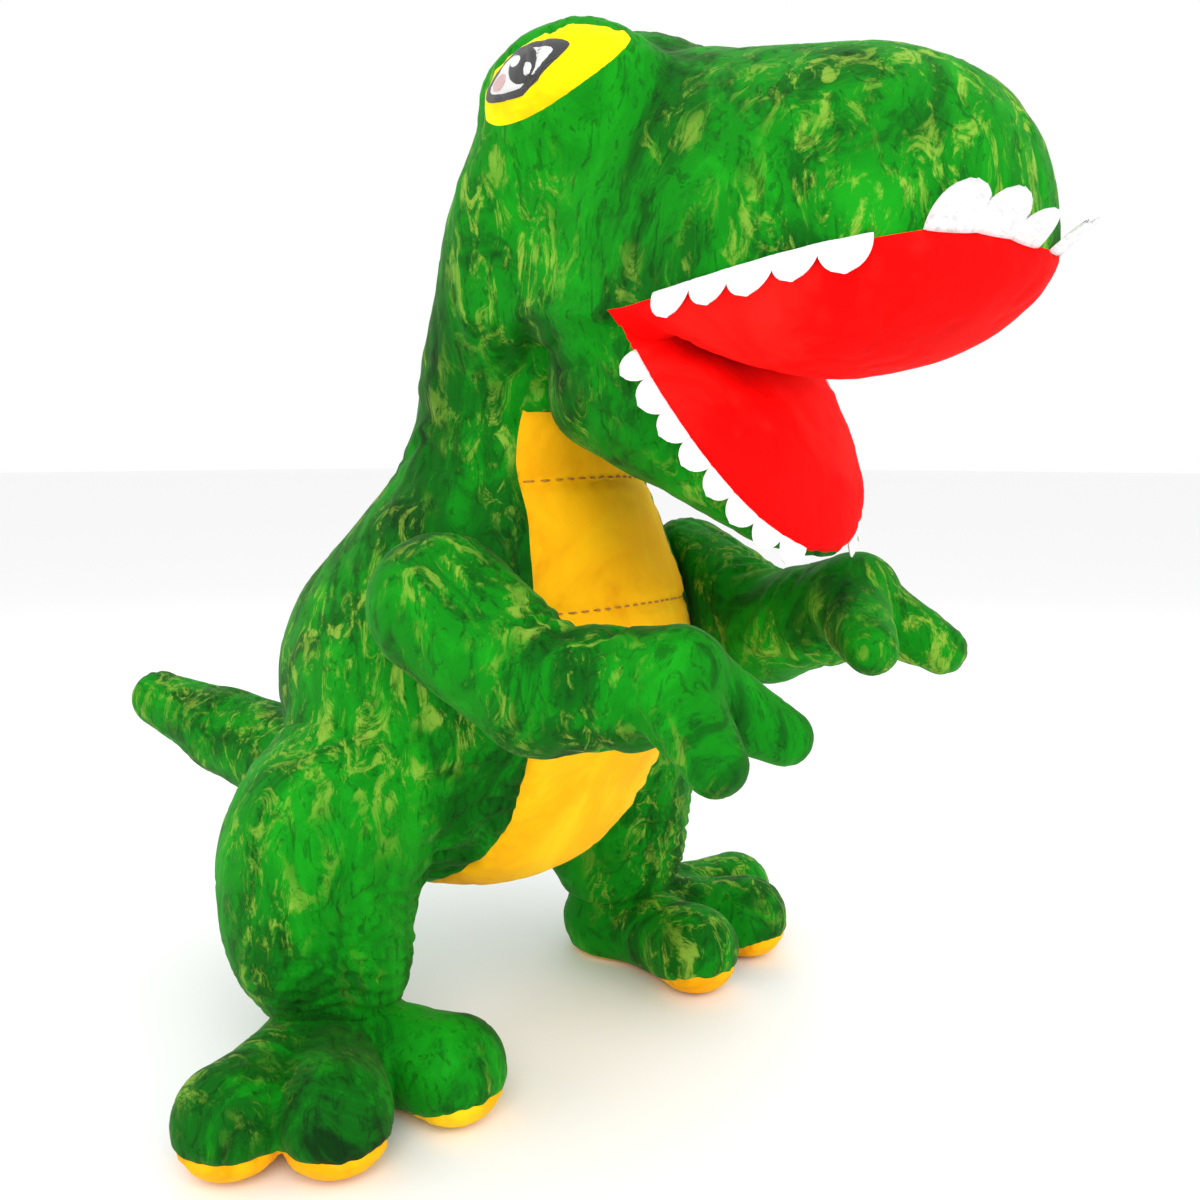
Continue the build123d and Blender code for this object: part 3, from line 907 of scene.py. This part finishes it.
def make_body():
    """Body skin, split into its sewn panels."""
    low = (-262, head_low.y - 22, LEG[0][0] - 12)
    high = (262, tail_root.y + 12, BROW[2] + BROW_RADII[2] + 14)
    skin = Skin(*surface(body_field, low, high, VOXEL))
    skin.relax(4)
    rules = (side_rule, belly_rule, palate_rule, patch_rule, muzzle_rule, leg_rule)
    for rule in rules:
        skin.seam(rule)
    left = skin.panel([side_rule], [True])
    belly = skin.panel([belly_rule], [True])
    palate = skin.panel([palate_rule], [True]) & ~belly
    patch = skin.panel([patch_rule], [True])
    leg = skin.panel([leg_rule], [True]) & ~belly
    muzzle = skin.panel([muzzle_rule], [True]) & ~palate & ~patch & ~belly & ~leg
    rest = ~(belly | palate | patch | leg | muzzle)
    shape_body(skin)
    panel_piece(
        "panel_belly", skin, belly, YELLOW, "torso", ["belly_panel"], NECK_BEND
    )
    panel_piece(
        "lining_palate", skin, palate, RED, "head", ["palate_lining"], NECK_BEND
    )
    for side, half in (("left", left), ("right", ~left)):
        nodes = ["torso_skin_" + side, "neck_skin_" + side, "torso_stuffing", "head_stuffing"]
        name = "skin_torso_" + side
        panel_piece(name, skin, rest & half, GREEN, "torso", nodes, NECK_BEND)
        nodes = ["muzzle_skin_" + side]
        name = "skin_muzzle_" + side
        panel_piece(name, skin, muzzle & half, GREEN, "head", nodes, NECK_BEND)
        nodes = ["eye_patch_" + side]
        name = "patch_eye_" + side
        panel_piece(name, skin, patch & half, PATCH, "head", nodes, NECK_BEND)
        nodes = ["leg_skin_" + side, "leg_stuffing_" + side]
        name = "skin_leg_" + side
        panel_piece(name, skin, leg & half, GREEN, "torso", nodes)
    return skin


# ---- Jaw, tail, arms and feet ---------------------------------------------------------------

def make_jaw():
    """Lower jaw: green underside and red lining, sewn along its rim."""
    reach = 200
    low = (-130, jaw_hinge.y - reach, jaw_hinge.z - reach)
    high = (130, jaw_hinge.y + 130, jaw_hinge.z + 60)
    skin = Skin(*surface(jaw_field, low, high, FINE_VOXEL))
    skin.relax(4)

    def lining_rule(p):
        """Positive on the lining."""
        return jaw_frame(p)[1]

    skin.seam(lining_rule)
    lining = skin.panel([lining_rule], [True])
    p = skin.points.T
    along, rise = jaw_frame(p)
    relief = soft_relief(p, 9) * np.where(rise > 0, 0.6, 1.0)
    relief += seam_depth(np.abs(rise), 3.0, 1.2) + pucker(p, np.abs(rise), 1.2, 30)
    for x, seed in ((-105, 62), (105, 64)):
        corner = (x, jaw_hinge.y + 20, jaw_hinge.z - 45)
        relief += gathers(p, corner, (0, -0.3, 1), 24, (40, 50, 40), 1.6, seed)
    skin.points += skin.normals() * relief[:, None]
    nodes = ["jaw_skin", "jaw_stuffing"]
    panel_piece("skin_jaw", skin, ~lining, GREEN, "jaw", nodes, JAW_BEND)
    panel_piece("lining_jaw", skin, lining, RED, "jaw", ["jaw_lining"], JAW_BEND)


TAIL_TUCK = 22


def make_tail():
    """Tail, from inside its seam ring to the rounded tip."""
    def field(p):
        """Tail, cut off just inside its seam."""
        return np.maximum(tail_field(p), tail_root.y - TAIL_TUCK - p[1])

    skin = Skin(*surface(field, (-105, tail_root.y - 34, 60), (95, 512, 300), FINE_VOXEL))
    skin.relax(4)
    p = skin.points.T
    middle = eased([(y, x) for (x, y, _), _ in TAIL], 1, p[1])
    top = p[2] > 150 + (p[1] - 100) * 0.2
    top_seam = np.where(top, np.abs(p[0] - middle), FAR_AWAY)
    ring = np.abs(p[1] - tail_root.y + TAIL_SEAM_INSET)
    relief = soft_relief(p, 13) + seam_depth(top_seam, 3.0, 1.6) + pucker(p, top_seam, 1.2, 33)
    relief += pucker(p, ring, 2.4, 35)
    relief -= 5.0 * np.clip(1 - (p[1] - (tail_root.y - TAIL_TUCK)) / 26, 0, 1)
    skin.points += skin.normals() * relief[:, None]
    bend = (
        "torso", "tail",
        (0, (tail_root.y - 6) * MM, tail_root.z * MM), (0, (tail_root.y + 75) * MM, tail_root.z * MM),
    )
    everything = np.ones(len(skin.quads), bool)
    nodes = ["tail_skin", "tail_stuffing"]
    panel_piece("skin_tail", skin, everything, GREEN, "tail", nodes, bend)


def make_arms():
    """Both arms, from one shape: the right one hangs, the left one is lifted a little."""
    low = (shoulder.x - 130, shoulder.y - 280, shoulder.z - 130)
    high = (shoulder.x + 70, shoulder.y + 70, shoulder.z + 75)
    skin = Skin(*surface(arm_field, low, high, FINE_VOXEL))
    skin.relax(4)
    p = skin.points.T
    crown = np.abs((p[0] - shoulder.x + 4) + 0.10 * (p[1] - shoulder.y))
    upper = p[2] > shoulder.z - 40 + 0.30 * (p[1] - shoulder.y + 60)
    wrist = np.abs(p[1] - (shoulder.y - 150))
    relief = soft_relief(p, 17)
    crown = np.where(upper, crown, FAR_AWAY)
    relief += seam_depth(crown, 3.0, 1.8) + pucker(p, crown, 1.6, 37)
    relief += seam_depth(wrist, 5.0, 2.6) + pucker(p, wrist, 1.8, 38)
    elbow = tuple(shoulder + Vector((-10, -105, -30)))
    relief += gathers(p, elbow, (0, 1, 0.6), 20, (50, 46, 40), 2.0, 66)
    skin.points += skin.normals() * relief[:, None]
    everything = np.ones(len(skin.quads), bool)
    turn = Matrix.Rotation(-LEFT_ARM_LIFT, 4, arm_axis)
    for side in ("right", "left"):
        arm = cut_out("skin_arm_" + side, skin, everything)
        if side == "left":
            pivot = Matrix.Translation(shoulder * MM)
            arm.data.transform(pivot @ turn @ pivot.inverted())
        else:
            arm.data.transform(Matrix.Scale(-1, 4, (1, 0, 0)))
            arm.data.flip_normals()
        nodes = ["arm_skin_" + side, "arm_stuffing_" + side]
        finished(arm, GREEN, "arm_" + side, nodes)


def make_feet():
    """Both feet: green uppers with three toes, and yellow soles that turn up at the toe ends."""
    low = (60, -185, floor_z - 12)
    high = (372, 75, 122)
    skin = Skin(*surface(foot_field, low, high, FINE_VOXEL))
    skin.relax(3)

    def sole_rule(p):
        """Positive on the sole, which climbs towards the toe ends."""
        reach = np.hypot(p[0] - FOOT_HUB[0], p[1] - FOOT_HUB[1])
        return 5 + 20 * np.clip((reach - 85) / 65, 0, 1) ** 1.3 - p[2]

    skin.seam(sole_rule)
    sole = skin.panel([sole_rule], [True])
    p = skin.points.T
    edge = np.abs(sole_rule(p))
    standing = np.clip((p[2] - floor_z - 3) / 14, 0, 1)
    relief = soft_relief(p, 23) * standing
    relief += (seam_depth(edge, 3.0, 1.6) + pucker(p, edge, 1.8, 39)) * standing
    for toe in TOES:
        away = Vector((toe[0] - FOOT_HUB[0], toe[1] - FOOT_HUB[1], 0)).normalized()
        line = np.abs((p[0] - FOOT_HUB[0]) * away.y - (p[1] - FOOT_HUB[1]) * away.x)
        ahead = (p[0] - FOOT_HUB[0]) * away.x + (p[1] - FOOT_HUB[1]) * away.y
        line = np.where((ahead > 80) & (p[2] > 30), line, FAR_AWAY)
        relief += seam_depth(line, 2.6, 0.9)
    skin.points += skin.normals() * relief[:, None]
    skin.points[:, 2] = np.maximum(skin.points[:, 2], floor_z + 0.3)
    for side in ("left", "right"):
        upper = cut_out("skin_foot_" + side, skin, ~sole)
        under = cut_out("sole_foot_" + side, skin, sole)
        if side == "right":
            for piece in (upper, under):
                piece.data.transform(Matrix.Scale(-1, 4, (1, 0, 0)))
                piece.data.flip_normals()
        nodes = ["foot_upper_" + side, "foot_stuffing_" + side]
        finished(upper, GREEN, "torso", nodes)
        finished(under, YELLOW, "torso", ["foot_sole_" + side])


# ---- Teeth, eyes and stitches ---------------------------------------------------------------

FELT_THICKNESS = 2.8


def travel_along(points):
    """Distance from the start to each point of a line."""
    steps = np.linalg.norm(np.diff(points, axis=0), axis=1)
    return np.concatenate([[0], np.cumsum(steps)])


def tongue(base, along, hang, face, width, length, thickness, curl):
    """One felt scallop: rounded end, soft edges and a slight curl."""
    across_count, down_count = 11, 10
    points, faces = [], []
    for sign in (1, -1):
        for row in range(down_count):
            down = row / (down_count - 1)
            narrow = math.sqrt(max(0.0, 1 - max(0.0, (down - 0.12) / 0.88) ** 2.1))
            for column in range(across_count):
                across = 2 * column / (across_count - 1) - 1
                rim = (1 - abs(across) ** 5) * (1 - max(0.0, (down - 0.8) / 0.2) ** 3)
                bow = curl * down**2 - 1.2 * across**2 + sign * thickness / 2 * max(rim, 0.0)
                spot = base + along * (across * width / 2 * max(narrow, 0.12)) + hang * (down * length)
                spot = spot + face * bow
                points.append(spot)
    half = across_count * down_count
    for row in range(down_count - 1):
        for column in range(across_count - 1):
            a = row * across_count + column
            quad = (a, a + 1, a + 1 + across_count, a + across_count)
            faces.append(quad)
            faces.append(tuple(half + corner for corner in reversed(quad)))
    rim_loop = list(range(across_count))
    rim_loop += [row * across_count + across_count - 1 for row in range(1, down_count)]
    rim_loop += [half - 1 - column for column in range(1, across_count)]
    rim_loop += [row * across_count for row in range(down_count - 2, 0, -1)]
    for a, b in zip(rim_loop, rim_loop[1:] + rim_loop[:1]):
        faces.append((b, a, a + half, b + half))
    return points, faces


def lip_ring(side_points):
    """Lip seam from the right corner round the front to the left one."""
    right = np.array([(-x, y, z) for x, y, z in side_points])
    left = np.array([(x, y, z) for x, y, z in side_points[::-1]])
    return np.concatenate([right, left])


def teeth(name, ring, plan, down, node, body, bend):
    """Row of scallops on a lip.

    Each row of the plan: distance from the corner, width, length, outward and upward share, curl.
    """
    travel = travel_along(ring)
    points, faces = [], []

    def at(distance):
        """Point of the lip this far from its start."""
        return Vector([np.interp(distance, travel, ring[:, axis]) for axis in range(3)])

    for distance, width, length, outward_share, rise, curl in plan:
        for mirrored in (False, True):
            place = travel[-1] - distance if mirrored else distance
            along = (at(place + 5) - at(place - 5)).normalized()
            outward = down.cross(along).normalized()
            hang = (outward * outward_share - down * rise).normalized()
            face = along.cross(hang).normalized()
            wobble = random.uniform(0.94, 1.08)
            lean = along * random.uniform(-0.10, 0.10)
            base = at(place) - hang * 2.0 + outward * 0.6
            made, quads = tongue(
                base, along, (hang + lean).normalized(), face,
                width * wobble, length * wobble, FELT_THICKNESS, curl
            )
            faces += [[corner + len(points) for corner in quad] for quad in quads]
            points += made
    obj = build_mesh(name, [tuple(point) for point in points], faces)
    solid = bmesh.new()
    solid.from_mesh(obj.data)
    bmesh.ops.recalc_face_normals(solid, faces=solid.faces)
    solid.to_mesh(obj.data)
    solid.free()
    finished(obj, FELT, body, [node], bend)


def make_teeth():
    """Upper and lower teeth."""
    forward = np.linspace(252, 475.5, 90)
    upper = lip_ring(list(zip(eased(MUZZLE, 2, forward), -forward, eased(MUZZLE, 1, forward))))
    side_teeth = [(46 + 27.5 * index, 30, 19, 0.3, -1.0, 1.5) for index in range(5)]
    front_teeth = [
        (216, 36, 33, 0.62, 0.76, 3.0),
        (242, 33, 30, 0.70, 0.72, 2.0),
        (267, 30, 26, 0.76, 0.66, 2.0),
    ]
    teeth("teeth_upper", upper, side_teeth + front_teeth, Vector((0, 0, -1)), "upper_teeth", "head", None)
    reach = np.linspace(8, 178.5, 90)
    rim = []
    for along, half_width in zip(reach, eased(JAW, 1, reach)):
        spot = jaw_hinge + jaw_along * along - jaw_up * JAW_SETBACK
        rim.append((half_width, spot.y, spot.z))
    lower = lip_ring(rim)
    plan = [(26 + 22.5 * index, 24 if index else 19, 16, 0.9, -0.5, 2.0) for index in range(8)]
    teeth("teeth_lower", lower, plan, -jaw_up, "lower_teeth", "jaw", JAW_BEND)


def patch_on(tree, centre, reach, tilt, outline, lift, side, rings=9, spokes=56):
    """Flat shape laid on the brow: outline gives its radius as a share of reach at each angle."""
    points, faces = [], []
    for ring in range(rings + 1):
        share = ring / rings
        for spoke in range(spokes):
            angle = 2 * math.pi * spoke / spokes
            radius = outline(angle) * share
            ahead, rise = radius * math.cos(angle) * reach[0], radius * math.sin(angle) * reach[1]
            y = centre[0] - (ahead * math.cos(tilt) - rise * math.sin(tilt))
            z = centre[1] + ahead * math.sin(tilt) + rise * math.cos(tilt)
            hit, normal, _, _ = tree.ray_cast(Vector((side * 320, y, z)), Vector((-side, 0, 0)))
            drop = 0.9 if ring == rings else 0.0
            points.append(hit + normal * (lift - drop))
    for ring in range(rings):
        for spoke in range(spokes):
            a, b = ring * spokes + spoke, ring * spokes + (spoke + 1) % spokes
            quad = (a, a + spokes, b + spokes, b)
            faces.append(quad if side > 0 else quad[::-1])
    return points, faces


def almond(angle):
    """Pointed oval: pointed at both ends, fuller above."""
    wide = abs(math.cos(angle))
    return 1.0 / max((wide**1.25 + abs(math.sin(angle)) ** 1.6) ** 0.8, 0.2)


def disc(_angle):
    """Round or oval."""
    return 1.0


EYE_CENTRE = (-173, 741)
EYE_REACH = (40, 17.5)
EYE_TILT = math.radians(14)


def make_eyes(skin):
    """Embroidered eyes: black outline, white, a pink corner, black iris and two glints."""
    tree = BVHTree.FromPolygons([Vector(point) for point in skin.points], skin.quads.tolist())
    y, z = EYE_CENTRE
    layers = [
        ("outline", (y, z), EYE_REACH, almond, 1.1, BLACK_THREAD),
        ("white", (y, z - 0.5), (EYE_REACH[0] * 0.80, EYE_REACH[1] * 0.74), almond, 1.5, WHITE_THREAD),
        ("corner", (y + 17, z - 5.0), (8.5, 5.0), disc, 1.8, PINK_THREAD),
        ("iris", (y - 5, z + 1.5), (12.5, 12.0), disc, 2.1, BLACK_THREAD),
        ("glint_large", (y + 1.0, z + 4.5), (4.6, 3.6), disc, 2.6, WHITE_THREAD),
        ("glint_small", (y - 10.5, z - 2.0), (3.6, 4.4), disc, 2.6, WHITE_THREAD),
    ]
    for side, sign in (("left", 1), ("right", -1)):
        for name, centre, reach, outline, lift, material in layers:
            points, faces = patch_on(tree, centre, reach, EYE_TILT, outline, lift, sign)
            eye = build_mesh("eye_" + name + "_" + side, points, faces)
            nodes = ["eye_embroidery_" + side] if name == "outline" else []
            finished(eye, material, "head", nodes)


def make_stitches(skin):
    """Two dashed rows of quilting stitches across the belly."""
    tree = BVHTree.FromPolygons([Vector(point) for point in skin.points], skin.quads.tolist())
    points, faces = [], []
    sides = 6
    for level in STITCH_LINES:
        half_width = float(eased(BELLY, 1, np.array([level]))[0]) - 4
        count = int(half_width * 2 / 9)
        for index in range(count):
            ends = []
            for shift in (0.18, 0.82):
                x = -half_width + 2 * half_width * (index + shift) / count
                z = level + STITCH_SAG * math.cos(x / STITCH_SPAN)
                hit, normal, _, _ = tree.ray_cast(Vector((x, -600, z)), Vector((0, 1, 0)))
                ends.append((hit, normal))
            axis = (ends[1][0] - ends[0][0]).normalized()
            for position in range(5):
                share = position / 4
                middle = ends[0][0].lerp(ends[1][0], share)
                normal = ends[0][1].lerp(ends[1][1], share).normalized()
                binormal = axis.cross(normal)
                arch = 1 - (2 * share - 1) ** 2
                radius = 0.35 + 0.55 * arch**0.5
                for corner in range(sides):
                    angle = 2 * math.pi * corner / sides
                    spot = middle + normal * (0.2 + 0.7 * arch)
                    points.append(spot + (normal * math.cos(angle) + binormal * math.sin(angle)) * radius)
            start = len(points) - 5 * sides
            for position in range(4):
                for corner in range(sides):
                    a = start + position * sides + corner
                    b = start + position * sides + (corner + 1) % sides
                    faces.append((a, a + sides, b + sides, b))
            faces.append(tuple(start + corner for corner in range(sides)))
            faces.append(tuple(start + 4 * sides + corner for corner in reversed(range(sides))))
    stitches = build_mesh("stitches_belly", points, faces)
    finished(stitches, AMBER_THREAD, "torso", bend=NECK_BEND)


body_skin = make_body()
make_jaw()
make_tail()
make_arms()
make_feet()
make_teeth()
make_eyes(body_skin)
make_stitches(body_skin)
